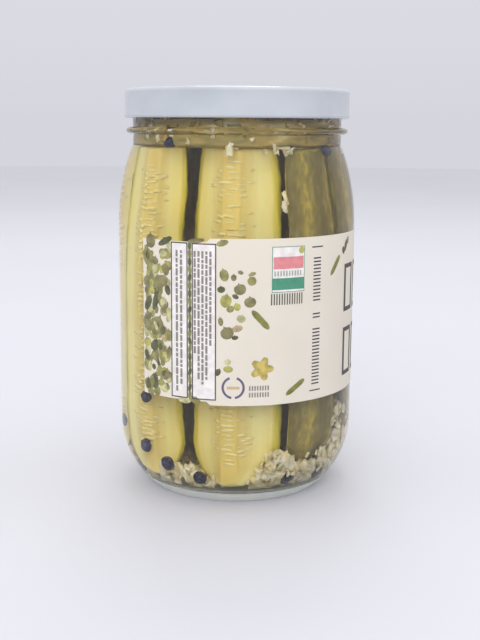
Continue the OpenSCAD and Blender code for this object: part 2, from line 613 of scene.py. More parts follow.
give(lid, white_enamel(), gold_lacquer())
edit(lid)
pick_faces(lambda p, n: n.z < -0.5 and p.z > LUG_HIGH or math.hypot(p.x, p.y) < SKIRT_R - 0.1 * MM
           and n.x * p.x + n.y * p.y < 0 and p.z < LID_TOP - 0.4 * MM and math.hypot(p.x, p.y) > PANEL_R + 3 * MM
           or p.z < LUG_HIGH + 0.1 * MM and math.hypot(p.x, p.y) < CURL_MID - CURL_R)
lid.active_material_index = 1
bpy.ops.object.material_slot_assign()
clear_selection()
print("lid materials:", [slot.name for slot in lid.material_slots])

# %% [markdown]
# The rim seals against a ring of soft compound, poured into the lid and cured there. A ring
# has no pole, so its outline closes on itself and the doubled seam is merged.

# %% Pour the sealing ring
SEAL_IN = BORE_R - 0.4 * MM
SEAL_OUT = NECK_R + 1.0 * MM


def turn_ring(name, outline, steps=TURN_STEPS):
    """A turned ring from a closed outline of (radius, height) points."""
    clear_selection()
    radius, height = outline[0]
    bpy.ops.mesh.primitive_circle_add(vertices=steps, radius=radius, location=(0, 0, height))
    piece = bpy.context.object
    piece.name = name
    piece.data.name = name
    place_in_mesh(piece)
    edit(piece)
    bpy.ops.mesh.select_all(action="SELECT")
    for next_radius, next_height in outline[1:] + outline[:1]:
        bpy.ops.mesh.extrude_region_move(TRANSFORM_OT_translate={"value": (0, 0, next_height - height)})
        grow = next_radius / radius
        bpy.ops.transform.resize(value=(grow, grow, 1), center_override=(0, 0, next_height))
        radius, height = next_radius, next_height
    bpy.ops.mesh.select_all(action="SELECT")
    bpy.ops.mesh.remove_doubles(threshold=1e-6)
    bpy.ops.mesh.normals_make_consistent(inside=False)
    bpy.ops.object.mode_set(mode="OBJECT")
    smooth(piece)
    return piece


seal_mid = (SEAL_IN + SEAL_OUT) / 2
seal_ring = turn_ring("sealing_ring", arc(seal_mid, (RIM_Z + LID_TOP - LID_T) / 2, (SEAL_OUT - SEAL_IN) / 2,
                                          (LID_TOP - LID_T - RIM_Z) / 2, 0, 345, 23))
plastisol, plastisol_tree = new_material("cured_plastisol")
cloud = add_node(plastisol_tree, "ShaderNodeTexNoise", Vector=object_place(plastisol_tree), Scale=1 / (4 * MM))
cream = add_node(plastisol_tree, "ShaderNodeValToRGB", Fac=cloud.outputs[0],
                 stops=[(0.3, linear("#d9d4c4")), (0.7, linear("#e6e2d6"))])
finish_material(plastisol_tree, Base_Color=cream.outputs[0], Roughness=0.45, Subsurface_Weight=0.2,
                Subsurface_Scale=1 * MM)
give(seal_ring, plastisol)
print("sealing ring", round(2000 * SEAL_OUT, 1), "mm across")

# %% [markdown]
# ## The spears
#
# A spear is a quarter of a small cucumber. It is made as in the kitchen: the whole cucumber is
# turned, cut lengthwise twice, and cut across at the top. The soft core wears off along the
# inner edge, so that edge is trimmed flat too. The cut mesh has a few huge faces, so
# a voxel remesh lays an even net over it, which can bend, twist and swell like wet flesh.

# %% Cut one spear
TIP = 14.0 * MM
CUT_TAPER = 0.84
CORE_CUT = 2.6 * MM
rng = np.random.default_rng(11)


def cucumber_radius(radius, up, length):
    """The cucumber's radius at a height above its tip."""
    end = math.sqrt(max(0.0, 1 - (1 - min(up / TIP, 1)) ** 2))
    belly = 1 - (1 - CUT_TAPER) * max(0.0, (up / length - 0.45) / 0.55) ** 2
    return radius * end * belly


def cut_spear(name, radius, length):
    """A quarter of a cucumber, its cut edge on the Z axis and its middle towards +X."""
    beyond = length + 8 * MM
    heights = [TIP * (1 - math.cos(math.pi / 2 * i / 10)) for i in range(1, 11)]
    heights += [TIP + (beyond - TIP) * i / 12 for i in range(1, 13)]
    outline = [(0, 0)] + [(cucumber_radius(radius, up, length), up) for up in heights] + [(0, beyond)]
    spear = turn(name, outline, steps=50)
    edit(spear)
    for across in (1, -1):
        bpy.ops.mesh.select_all(action="SELECT")
        bpy.ops.mesh.bisect(plane_co=(0, 0, 0), plane_no=(1, across, 0), use_fill=True, clear_inner=True)
    bpy.ops.mesh.select_all(action="SELECT")
    bpy.ops.mesh.bisect(plane_co=(CORE_CUT, 0, 0), plane_no=(1, 0, 0), use_fill=True, clear_inner=True)
    bpy.ops.mesh.select_all(action="SELECT")
    bpy.ops.mesh.bisect(plane_co=(0, 0, length), plane_no=(0, 0, 1), use_fill=True, clear_outer=True)
    bpy.ops.object.mode_set(mode="OBJECT")
    apply_modifier(spear, "REMESH", mode="VOXEL", voxel_size=0.95 * MM)
    apply_modifier(spear, "SMOOTH", factor=0.5, iterations=3)
    return spear


trial = cut_spear("trial_spear", 17 * MM, 118 * MM)
print("one spear:", len(trial.data.polygons), "faces,", [round(1000 * side, 1) for side in trial.dimensions], "mm")
bpy.data.objects.remove(trial)

# %% [markdown]
# The finish needs to know where it is in the cucumber: how far round the skin, how deep
# between core and skin, and how far along. That is saved at each point before the spear is bent,
# so that skin, flesh and seed bed follow it afterwards.

# %% Save the place in the cucumber
def point_places(mesh):
    places = np.zeros(len(mesh.vertices) * 3)
    mesh.vertices.foreach_get("co", places)
    return places.reshape(-1, 3)


def save_grain(spear, radius, length):
    """Saves (mm round the skin, depth from 0 at the core to 1 at the skin, mm along) as grain."""
    places = point_places(spear.data)
    skin = np.array([max(cucumber_radius(radius, up, length), 2 * MM) for up in places[:, 2]])
    depth = np.clip(np.hypot(places[:, 0], places[:, 1]) / skin, 0, 1)
    around = np.arctan2(places[:, 1], places[:, 0]) * radius / MM
    grain = spear.data.attributes.new("grain", "FLOAT_VECTOR", "POINT")
    grain.data.foreach_set("vector", np.column_stack([around, depth, places[:, 2] / MM]).ravel())
    warts = spear.vertex_groups.new(name="skin")
    for i in np.nonzero(depth > 0.93)[0]:
        warts.add([int(i)], float(min(1, (depth[i] - 0.93) / 0.05)), "REPLACE")


wart_noise = bpy.data.textures.new("warts", "VORONOI")
wart_noise.noise_scale = 7 * MM
swell_noise = bpy.data.textures.new("swell", "CLOUDS")
swell_noise.noise_scale = 14 * MM


def roughen(spear):
    """Raises the warts of the skin, and lets the cut flesh swell unevenly."""
    apply_modifier(spear, "DISPLACE", texture=wart_noise, strength=-1.1 * MM, mid_level=0.35, vertex_group="skin")
    apply_modifier(spear, "DISPLACE", texture=swell_noise, strength=1.1 * MM, mid_level=0.5)


print("spear helpers ready")

# %% [markdown]
# Seeds lie in the soft core, each with its point towards the skin, so a cut face shows them
# as short bars one above another. One seed is a ball drawn out along X and pinched at its
# point. It is then copied up both cut faces, half sunk, as one mesh made from arrays.

# %% Copy a small model many times
def scatter(name, model, placements):
    """One mesh with a copy of the model at each (place, turn, size)."""
    base = point_places(model.data)
    faces = [tuple(face.vertices) for face in model.data.polygons]
    points, polygons = [], []
    for place, turned, size in placements:
        grown = base * np.array(size)
        matrix = np.array(Euler(turned).to_matrix())
        polygons += [tuple(i + len(base) * len(points) for i in face) for face in faces]
        points.append(grown @ matrix.T + np.array(place))
    mesh = bpy.data.meshes.new(name)
    mesh.from_pydata(np.concatenate(points), [], polygons)
    mesh.update()
    made = bpy.data.objects.new(name, mesh)
    bpy.context.scene.collection.objects.link(made)
    return made


def pale_seed():
    """One seed 1 unit long, with its point towards +X."""
    clear_selection()
    bpy.ops.mesh.primitive_uv_sphere_add(segments=10, ring_count=6, radius=0.5)
    seed = bpy.context.object
    seed.rotation_euler = (0, math.radians(90), 0)
    seed.scale = (0.34, 0.42, 1.0)
    place_in_mesh(seed)
    edit(seed)
    pick_points(lambda p: p.x > 0.3)
    bpy.ops.transform.resize(value=(1, 0.5, 0.5), center_override=(0, 0, 0))
    clear_selection()
    return seed


seed_model = pale_seed()
SEED_PITCH = 1.9 * MM


def seed_rows(name, radius, length):
    """The seeds on both cut faces of a spear that stands on the Z axis."""
    placements = []
    up = 9 * MM
    while up < length - 4 * MM:
        big = rng.uniform(0.8, 1.2)
        place = (CORE_CUT + rng.uniform(0.15, 0.5) * MM, rng.normal(0, 0.6) * MM, up)
        placements.append((place, (rng.normal(0, 0.1), rng.normal(0, 0.08), math.radians(90)),
                           (5.0 * MM * big, 3.2 * MM * big, 3.4 * MM * big)))
        up += SEED_PITCH * rng.uniform(0.75, 1.15)
    for side in (1, -1):
        along = np.array([math.cos(math.radians(45)), side * math.sin(math.radians(45)), 0])
        for row, out in enumerate((0.28, 0.44)):
            up = (12 + 2 * row) * MM
            while up < length - 7 * MM:
                if rng.random() < (0.8, 0.45)[row]:
                    reach = (out + rng.normal(0, 0.025)) * cucumber_radius(radius, up, length)
                    sunk = np.array([-along[1], along[0], 0]) * -side * rng.uniform(0.35, 0.7) * MM
                    lean = rng.normal(0, 0.08)
                    big = rng.uniform(0.8, 1.15)
                    placements.append((along * reach + sunk + np.array([0, 0, up]),
                                       (rng.normal(0, 0.2), lean, side * math.radians(45)),
                                       (4.0 * MM * big, 3.6 * MM * big, 4.2 * MM * big)))
                up += SEED_PITCH * rng.uniform(0.85, 1.25)
    seeds = scatter(name, seed_model, placements)
    smooth(seeds)
    return seeds


print("one seed:", len(seed_model.data.polygons), "faces")

# %% [markdown]
# ### Pickled flesh, skin and seeds
#
# Pickling turns white flesh glassy and yellow, and green skin olive, because acid takes the
# magnesium out of chlorophyll. Light goes a millimetre or two into the flesh, which is what
# subsurface scattering gives. The core is wetter and darker, with a green line under the skin.

# %% Cucumber finish
STRIPE_MM = 14.0
STRIPE_PHASE = math.pi / 2 + 4.3 * 2 * math.pi / STRIPE_MM


def pickled_cucumber():
    made, tree = new_material("pickled_cucumber")
    grain = add_node(tree, "ShaderNodeAttribute", {"attribute_name": "grain"}).outputs["Vector"]
    parts = add_node(tree, "ShaderNodeSeparateXYZ", Vector=grain)
    fibres = add_node(tree, "ShaderNodeMapping", Vector=grain, Scale=(0.35, 9.0, 0.05))
    streaks = add_node(tree, "ShaderNodeTexNoise", Vector=fibres.outputs[0], Scale=1.0, Detail=4.0)
    deep = add_node(tree, "ShaderNodeMath", {"operation": "MULTIPLY"}, _0=parts.outputs[1], _1=0.8)
    uneven = add_node(tree, "ShaderNodeMath", {"operation": "MULTIPLY_ADD"},
                      _0=streaks.outputs[0], _1=0.2, _2=deep.outputs[0])
    flesh = add_node(tree, "ShaderNodeValToRGB", Fac=uneven.outputs[0],
                     stops=[(0.25, linear("#e9cf74")), (0.44, linear("#f4e294")),
                            (0.56, linear("#fdf2ac")), (0.74, linear("#faec9c")),
                            (0.81, linear("#ddd04a")), (0.87, linear("#a6a028"))])
    round_phase = add_node(tree, "ShaderNodeMath", {"operation": "MULTIPLY_ADD"},
                           _0=parts.outputs[0], _1=2 * math.pi / STRIPE_MM, _2=STRIPE_PHASE)
    wave = add_node(tree, "ShaderNodeMath", {"operation": "SINE"}, _0=round_phase.outputs[0])
    blotches = add_node(tree, "ShaderNodeMapping", Vector=grain, Scale=(0.45, 0.0, 0.22))
    patches = add_node(tree, "ShaderNodeTexNoise", Vector=blotches.outputs[0], Scale=1.0, Detail=4.0)
    bands = add_node(tree, "ShaderNodeMath", {"operation": "MULTIPLY_ADD"},
                     _0=wave.outputs[0], _1=0.17, _2=patches.outputs[0])
    skin = add_node(tree, "ShaderNodeValToRGB", Fac=bands.outputs[0],
                    stops=[(0.32, linear("#75672c")), (0.50, linear("#867935")),
                           (0.64, linear("#998a3e")), (0.80, linear("#c4a63e"))])
    skin_edge = add_node(tree, "ShaderNodeMapRange", Value=parts.outputs[1], From_Min=0.95, From_Max=0.975)
    colour = add_node(tree, "ShaderNodeMix", {"data_type": "RGBA"}, Factor=skin_edge.outputs[0],
                      _6=flesh.outputs[0], _7=skin.outputs[0])
    cells = add_node(tree, "ShaderNodeTexNoise", Vector=object_place(tree), Scale=1 / (1.6 * MM), Detail=3.0)
    bump = add_node(tree, "ShaderNodeBump", Strength=0.35, Distance=0.4 * MM, Height=cells.outputs[0])
    finish_material(tree, Base_Color=colour.outputs[2], Roughness=0.38, Normal=bump.outputs[0],
                    Subsurface_Weight=0.15, Subsurface_Radius=(1.0, 0.85, 0.4), Subsurface_Scale=1.2 * MM)
    return made


def cucumber_seed():
    made, tree = new_material("cucumber_seed_coat")
    spots = add_node(tree, "ShaderNodeTexNoise", Vector=object_place(tree), Scale=1 / (2.5 * MM), Detail=2.0)
    tint = add_node(tree, "ShaderNodeValToRGB", Fac=spots.outputs[0],
                    stops=[(0.3, linear("#ecd88c")), (0.7, linear("#fdf0b4"))])
    finish_material(tree, Base_Color=tint.outputs[0], Roughness=0.25, Subsurface_Weight=0.2,
                    Subsurface_Radius=(1.0, 0.85, 0.4), Subsurface_Scale=1.0 * MM)
    return made


flesh_look = pickled_cucumber()
seed_look = cucumber_seed()
print("made", flesh_look.name, "and", seed_look.name)

# %% [markdown]
# ### Pack the spears
#
# Spears are packed upright and tight. Some show a cut edge to the glass, and some their skin.
# Each is made straight, twisted a little, stood in its place, and pulled in at both ends
# to follow the shoulder and the heel. A shrinkwrap then presses it back wherever it still
# meets the glass, as the glass itself does.

# %% Stand the spears in the jar
GLASS_GAP = 0.5 * MM


def round_jar(angle, radius, height):
    """The point at an angle in degrees from the front, counted to the right."""
    turned = math.radians(angle)
    return Vector((radius * math.sin(turned), -radius * math.cos(turned), height))


def pull(spear, height, shift, reach):
    """Moves the points at one end, and drags the rest along less and less."""
    edit(spear)
    pick_points(lambda p: abs(p.z - height) < 2 * MM)
    bpy.ops.transform.translate(value=shift, use_proportional_edit=True,
                                proportional_edit_falloff="SMOOTH", proportional_size=reach)
    clear_selection()


def press_inside(piece):
    """Moves what would reach into the glass back in, as soft food gives against it."""
    apply_modifier(piece, "SHRINKWRAP", target=brine, wrap_method="NEAREST_SURFACEPOINT", wrap_mode="INSIDE",
                   offset=GLASS_GAP + BRINE_REACH)


def stand_spear(name, apex_angle, apex_out, faces_to, radius, low, high, lean=(0, 0), twist=0):
    """One finished spear. faces_to is the angle that the middle of its skin looks to."""
    length = high - low
    spear = cut_spear(name, radius, length)
    save_grain(spear, radius, length)
    roughen(spear)
    seeds = seed_rows(name + "_seeds", radius, length)
    give(spear, flesh_look, seed_look)
    give(seeds, seed_look)
    spear = join(name, [spear, seeds])
    apply_modifier(spear, "SIMPLE_DEFORM", deform_method="TWIST", deform_axis="Z", angle=math.radians(twist))
    spear.rotation_euler = (math.radians(lean[0]), math.radians(lean[1]), math.radians(faces_to - 90))
    spear.location = round_jar(apex_angle, apex_out, low)
    place_in_mesh(spear)
    inward = -round_jar(apex_angle, 1, 0)
    pull(spear, high, inward * (inner_radius(60 * MM) - inner_radius(high)), 48 * MM)
    pull(spear, low, inward * 0.75 * (inner_radius(60 * MM) - inner_radius(low + 3 * MM)), 26 * MM)
    press_inside(spear)
    smooth(spear, 60)
    return spear


SPEARS = {
    # name: apex angle, apex radius in mm, skin looks to, radius, low and high in mm, lean, twist
    "spear_a": (-52, 41.2, 153, 16.8, 8.5, 127.5, (0, 0), 0),
    "spear_b": (-5, 41.3, 163, 22.0, 7.5, 128, (0, 1.2), 2),
    "spear_c": (45, 25.8, 45, 16.0, 12, 127, (0, 0), 3),
    "spear_d": (88, 25.5, 88, 16.0, 14, 128, (0, 0), -4),
    "spear_e": (128, 41.2, -52, 16.0, 11, 125, (0, 0), 5),
    "spear_f": (172, 25.3, 172, 16.0, 12, 128, (0, 0), 2),
    "spear_g": (-142, 41.2, 38, 16.0, 10, 126, (0, 0), -3),
    "spear_h": (-98, 41.2, 82, 15.0, 12, 128, (0, 0), 2),
    "spear_i": (8.5, -8.1, -52, 17.0, 7, 125, (0, 0), 5),
    "spear_j": (-8.4, -8.2, 42, 17.0, 7, 126, (0, 0), -3),
}
spears = []
for name, (angle, out, looks, radius, low, high, lean, twist) in SPEARS.items():
    made = stand_spear(name, angle, out * MM, looks, radius * MM, low * MM, high * MM, lean, twist)
    places = point_places(made.data)
    nearest = min(inner_radius(z) - math.hypot(x, y) for x, y, z in places[::7])
    print(f"{name}: {len(made.data.polygons)} faces, {1000 * nearest:.1f} mm from the glass")
    spears.append(made)
bpy.data.objects.remove(seed_model)

# %% [markdown]
# ## Garlic, peppercorns and spice
#
# Chopped garlic sinks and heaps up round the heel, more of it on the right. Three different
# chips are cut from blocks with uneven bevelled corners, and copied at every turn and size.
# They have few faces, because there are hundreds of them.

# %% Chop the garlic
def chip(name, seed, sides):
    """A small uneven chip 1 unit long, with soft corners."""
    clear_selection()
    bpy.ops.mesh.primitive_cube_add(size=1)
    made = bpy.context.object
    made.name = name
    made.scale = sides
    place_in_mesh(made)
    edit(made)
    bpy.ops.mesh.select_all(action="SELECT")
    bpy.ops.mesh.subdivide(number_cuts=1)
    bpy.ops.transform.vertex_random(offset=0.3, seed=seed)
    clear_selection()
    apply_modifier(made, "BEVEL", width=0.07, segments=1, limit_method="NONE")
    return made


chips = [chip("chip_0", 3, (1.0, 0.7, 0.35)), chip("chip_1", 8, (1.1, 0.45, 0.35)), chip("chip_2", 21, (0.8, 0.7, 0.45))]


def heap(count, angle_mid, angle_spread, low, high, deep, size):
    """Places for chips against the heel: angles and heights, up to deep from the glass."""
    places = []
    for _ in range(count):
        height = (low + (high - low) * rng.random() ** 1.5) * MM
        radius = inner_radius(height) - (1.6 + deep * rng.random()) * MM
        angle = angle_mid + angle_spread * rng.uniform(-1, 1)
        big = size * rng.uniform(0.4, 1.4) * MM
        places.append((round_jar(angle, radius, height), tuple(rng.uniform(0, 6.28, 3)), (big, big, big)))
    return places


def floor_heap(count, size):
    """Places for chips that lie on the jar's floor."""
    places = []
    for _ in range(count):
        radius = 33 * math.sqrt(rng.random()) * MM
        height = (7.6 + 3.0 * rng.random() + 3.0 * (radius / (33 * MM)) ** 4) * MM
        big = size * rng.uniform(0.6, 1.3) * MM
        places.append((round_jar(rng.uniform(-180, 180), radius, height), tuple(rng.uniform(0, 6.28, 3)),
                       (big, big, big)))
    return places


CORN = 4.8
corn_places = [
    # angle and height in mm of each peppercorn that lies against the glass
    (-52.2, 38.0), (-53.6, 19.2), (-39.3, 14.5), (-20.6, 10.6), (30.6, 10.1), (57.5, 9.2),
    (-41.7, 130.7), (59.9, 127.3), (-80, 24), (-96, 12), (-120, 40), (-133, 11), (-158, 16),
    (171, 28), (152, 10.5), (139, 19), (118, 9.6), (101, 16), (84, 10), (-70, 9.8), (-108, 127),
    (127, 128), (176, 126),
]


def corn_centre(angle, height):
    return round_jar(angle, inner_radius(height * MM) - (0.5 * CORN + 0.55) * MM, height * MM)


corn_centres = [Vector(corn_centre(angle, height)) for angle, height in corn_places]
bpy.context.view_layer.update()
KEEP_OUT = 0.3


def has_room(placement):
    """Whether a chip's middle is clear of every peppercorn and outside every spear."""
    middle = Vector(placement[0])
    room = KEEP_OUT * placement[2][0]
    if any((middle - centre).length < 0.5 * CORN * MM + room for centre in corn_centres):
        return False
    for spear in spears:
        found, spot, normal, face = spear.closest_point_on_mesh(middle)
        if (middle - spot).dot(normal) < room:
            return False
    return True


garlic_places = (heap(360, 0, 180, 7.5, 12.5, 5, 3.4) + heap(230, 45, 26, 9, 20, 6, 3.6)
                 + heap(150, 72, 16, 14, 34, 4, 3.4) + heap(60, 25, 12, 8, 16, 5, 3.4)
                 + heap(9, 24, 9, 127, 129.5, 3, 3.2) + heap(4, -2, 4, 128, 130, 3, 3.0)
                 + heap(20, 150, 90, 124, 130, 5, 3.4) + floor_heap(260, 4.2))
for height in (112, 109.5, 107):
    garlic_places.append((round_jar(24.2, 39.4 * MM, height * MM), (0.3, 1.4, 0.5), (4.0 * MM, 3.4 * MM, 3.4 * MM)))
garlic_places = [placement for placement in garlic_places if has_room(placement)]
parts = [scatter(f"garlic_{i}", chips[i], garlic_places[i::3]) for i in range(3)]
garlic = join("chopped_garlic", parts)
press_inside(garlic)
smooth(garlic, 50)
print("garlic:", len(garlic_places), "chips,", len(garlic.data.polygons), "faces")

# %% [markdown]
# ### Pickled garlic
#
# Raw garlic is ivory. In brine it turns a little glassy and grey-yellow at its thin edges.

# %% Garlic finish
def pickled_garlic():
    made, tree = new_material("pickled_garlic")
    place = object_place(tree)
    drift = add_node(tree, "ShaderNodeTexNoise", Vector=place, Scale=1 / (5 * MM), Detail=3.0)
    tint = add_node(tree, "ShaderNodeValToRGB", Fac=drift.outputs[0],
                    stops=[(0.3, linear("#d6c590")), (0.5, linear("#ecdfb8")), (0.68, linear("#fbf5e0"))])
    grain = add_node(tree, "ShaderNodeTexNoise", Vector=place, Scale=1 / (0.9 * MM), Detail=2.0)
    bump = add_node(tree, "ShaderNodeBump", Strength=0.3, Distance=0.2 * MM, Height=grain.outputs[0])
    finish_material(tree, Base_Color=tint.outputs[0], Roughness=0.4, Normal=bump.outputs[0],
                    Subsurface_Weight=0.25, Subsurface_Radius=(1.0, 0.9, 0.6), Subsurface_Scale=1.2 * MM)
    return made


give(garlic, pickled_garlic())
print("made", garlic.data.materials[0].name)

# %% [markdown]
# A peppercorn is a dried berry, so its skin is wrinkled in a net of ridges. A ball with a
# cell-like displacement gives that. It stays blue-black in the jar.

# %% Make the peppercorns
clear_selection()
bpy.ops.mesh.primitive_ico_sphere_add(subdivisions=4, radius=0.5)
corn = bpy.context.object
wrinkles = bpy.data.textures.new("wrinkles", "VORONOI")
wrinkles.noise_scale = 0.28
wrinkles.distance_metric = "DISTANCE"
apply_modifier(corn, "DISPLACE", texture=wrinkles, strength=0.12, mid_level=0.5)

placements = []
for angle, height in corn_places:
    size = CORN * rng.uniform(0.92, 1.06) * MM
    placements.append((corn_centre(angle, height), tuple(rng.uniform(0, 6.28, 3)), (size, size, size)))
peppercorns = scatter("peppercorns", corn, placements)
press_inside(peppercorns)
smooth(peppercorns, 70)
bpy.data.objects.remove(corn)


def black_pepper():
    made, tree = new_material("black_peppercorn_skin")
    cells = add_node(tree, "ShaderNodeTexVoronoi", Vector=object_place(tree), Scale=1 / (1.0 * MM))
    tint = add_node(tree, "ShaderNodeValToRGB", Fac=cells.outputs[0],
                    stops=[(0.1, linear("#0c0d22")), (0.7, linear("#2a2b52"))])
    finish_material(tree, Base_Color=tint.outputs[0], Roughness=0.2)
    return made


give(peppercorns, black_pepper())
print("peppercorns:", len(placements))

# %% [markdown]
# What floats gathers in the neck: dill, mustard seed, crushed chilli and specks of garlic. They
# knit into a soft raft under the lid, which is a turned body with an uneven surface. Thin
# curled flakes in two colours lie on and round it.

# %% Float the spice
def flake(name, seed):
    """A thin curled flake 1 unit long."""
    clear_selection()
    bpy.ops.mesh.primitive_grid_add(x_subdivisions=3, y_subdivisions=2, size=1)
    made = bpy.context.object
    made.name = name
    made.scale = (1, 0.55, 1)
    place_in_mesh(made)
    edit(made)
    bpy.ops.mesh.select_all(action="SELECT")
    bpy.ops.transform.vertex_random(offset=0.13, seed=seed)
    clear_selection()
    apply_modifier(made, "SOLIDIFY", thickness=0.1, offset=0)
    return made


def neck_places(count, low, high, size, near=0.0):
    """Places all through the neck, or near the glass when near is 1."""
    places = []
    for _ in range(count):
        height = rng.uniform(low, high) * MM
        reach = inner_radius(height) - 1.6 * MM
        radius = reach * (near + (1 - near) * math.sqrt(rng.random()))
        big = size * rng.uniform(0.6, 1.5) * MM
        places.append((round_jar(rng.uniform(-180, 180), radius, height), tuple(rng.uniform(0, 6.28, 3)),
                       (big, big, big)))
    return places


def spice(name, dark, light, scale):
    made, tree = new_material(name)
    drift = add_node(tree, "ShaderNodeTexNoise", Vector=object_place(tree), Scale=1 / (scale * MM), Detail=2.0)
    tint = add_node(tree, "ShaderNodeValToRGB", Fac=drift.outputs[0],
                    stops=[(0.35, linear(dark)), (0.65, linear(light))])
    finish_material(tree, Base_Color=tint.outputs[0], Roughness=0.45)
    return made


def spice_raft():
    reach = BORE_R - 1.9 * MM
    low, high = 128.1 * MM, 141.8 * MM
    side = [(reach, low + (high - low) * (0.12 + 0.76 * i / 12)) for i in range(13)]
    inner = [(reach * i / 8, low) for i in range(8)]
    made = turn("spice_raft", inner + side + [(radius, high) for radius, height in inner[::-1]])
    lumps = bpy.data.textures.new("lumps", "CLOUDS")
    lumps.noise_scale = 5 * MM
    apply_modifier(made, "DISPLACE", texture=lumps, strength=2.0 * MM, mid_level=0.55)
    smooth(made, 60)
    look, tree = new_material("floating_spice")
    level = add_node(tree, "ShaderNodeMapping", Vector=object_place(tree), Scale=(1 / (13 * MM), 1 / (13 * MM), 1 / (3 * MM)))
    layers = add_node(tree, "ShaderNodeTexNoise", Vector=level.outputs[0], Scale=1.0, Detail=3.0)
    tint = add_node(tree, "ShaderNodeValToRGB", Fac=layers.outputs[0],
                    stops=[(0.30, linear("#6e602c")), (0.46, linear("#a09150")), (0.58, linear("#bb9d56")),
                           (0.70, linear("#d8cb92"))])
    finish_material(tree, Base_Color=tint.outputs[0], Roughness=0.5)
    give(made, look)
    return made


raft = spice_raft()
flake_model = flake("flake", 5)
herbs = scatter("dill_flakes", flake_model, neck_places(40, 130, 131.5, 3.4) + neck_places(60, 131, 142, 3.4, 0.95))
give(herbs, spice("soaked_dill", "#7d6f34", "#a99a52", 4))
chilli = scatter("chilli_flakes", flake_model, neck_places(40, 131, 142, 3.0, 0.95))
give(chilli, spice("crushed_chilli", "#b5813c", "#d9ad5e", 4))
specks = scatter("garlic_specks", chips[1], neck_places(36, 129.8, 142.2, 2.2, 0.95))
press_inside(specks)
give(specks, garlic.data.materials[0])
for piece in (herbs, chilli, specks):
    smooth(piece, 50)
for model in chips + [flake_model]:
    bpy.data.objects.remove(model)
print("floating flakes:", len(herbs.data.polygons) + len(chilli.data.polygons), "faces")

# %% [markdown]
# ## The label
#
# The label is printed flat and then wrapped, so it is modelled the same way: flat in front of
# the origin, where x is the length round the jar and z the height. The prints are thin raised
# shapes on it. One bend then wraps the sheet and its prints together.

# %% Lay out the flat sheet
LABEL_LEFT = -47.5
LABEL_RIGHT = 237.5
LABEL_LOW = label_low.z
LABEL_HIGH = label_high.z
BEND_R = BODY_R + 0.09 * MM
SHEET_STEP = -12.3
LOW_EDGE = 41.0 * MM
HIGH_EDGE = 97.5 * MM
INK_STEP = 1.5 * MM


def flat(angle):
    """The place along the flat sheet for an angle in degrees from the front."""
    return math.radians(angle) * BEND_R


def flat_bar(left, right, low, high, lift=0.03):
    """A printed bar between two places along the sheet and two heights, raised by lift in mm."""
    steps = max(1, math.ceil((right - left) / INK_STEP))
    clear_selection()
    bpy.ops.mesh.primitive_grid_add(x_subdivisions=steps, y_subdivisions=1, size=1)
    bar = bpy.context.object
    bar.scale = (right - left, high - low, 1)
    bar.rotation_euler = (math.radians(90), 0, 0)
    bar.location = ((left + right) / 2, -lift * MM, (low + high) / 2)
    place_in_mesh(bar)
    return bar


sheet = flat_bar(flat(LABEL_LEFT), flat(LABEL_RIGHT), LABEL_LOW, LABEL_HIGH, 0)
edit(sheet)
step = flat(SHEET_STEP)
pick_points(lambda p: p.x < step and p.z > HIGH_EDGE)
bpy.ops.transform.translate(value=(0, 0, HIGH_EDGE - LABEL_HIGH))
pick_points(lambda p: p.x < step and p.z < LOW_EDGE)
bpy.ops.transform.translate(value=(0, 0, LOW_EDGE - LABEL_LOW))
clear_selection()
print("flat sheet", round(1000 * sheet.dimensions.x, 1), "by", round(1000 * (LABEL_HIGH - LABEL_LOW), 2), "mm")

# %% [markdown]
# A leaf is a filled circle drawn out to an oval, with one end pulled to a point. Gherkins, a
# flower and a ring are plain shapes too. Each is made once and copied, and every copy is cut
# finely enough along x that it follows the wrap.

# %% Draw the print shapes
def flat_disc(width, height, points, name):
    """A filled oval on the sheet with a middle point, so that it can bend."""
    clear_selection()
    bpy.ops.mesh.primitive_circle_add(vertices=points, radius=0.5, fill_type="TRIFAN",
                                      rotation=(math.radians(90), 0, 0))
    disc = bpy.context.object
    disc.name = name
    disc.scale = (width, height, 1)
    place_in_mesh(disc)
    edit(disc)
    bpy.ops.mesh.select_all(action="SELECT")
    bpy.ops.mesh.subdivide(number_cuts=1)
    clear_selection()
    return disc


def leaf_model():
    leaf = flat_disc(1, 1, 12, "leaf")
    edit(leaf)
    pick_points(lambda p: p.z > 0.49)
    bpy.ops.transform.translate(value=(0, 0, 0.12))
    pick_points(lambda p: p.z > 0.4 and p.z < 0.49)
    bpy.ops.transform.resize(value=(0.55, 1, 1), center_override=(0, 0, 0))
    clear_selection()
    return leaf


def flower_model():
    flower = flat_disc(1, 1, 20, "flower")
    edit(flower)
    for valley in (math.radians(36 + 72 * i) for i in range(5)):
        away = Vector((math.sin(valley), 0, math.cos(valley)))
        for half_width, shrink in ((20, 0.84), (11, 0.82), (4, 0.86)):
            near = math.cos(math.radians(half_width))
            pick_points(lambda p: p.length > 0.2 and p.normalized().dot(away) > near)
            bpy.ops.transform.resize(value=(shrink, 1, shrink), center_override=(0, 0, 0))
    clear_selection()
    return flower


leaf = leaf_model()
flower = flower_model()
oval = flat_disc(1, 1, 14, "oval")
print("leaf, flower and oval drawn")

# %% [markdown]
# Sprigs of leaves grow in from the left end of the sheet and over its edges. Each leaf has its
# angle, height and size in millimetres, and an ink from bright olive to dark green.

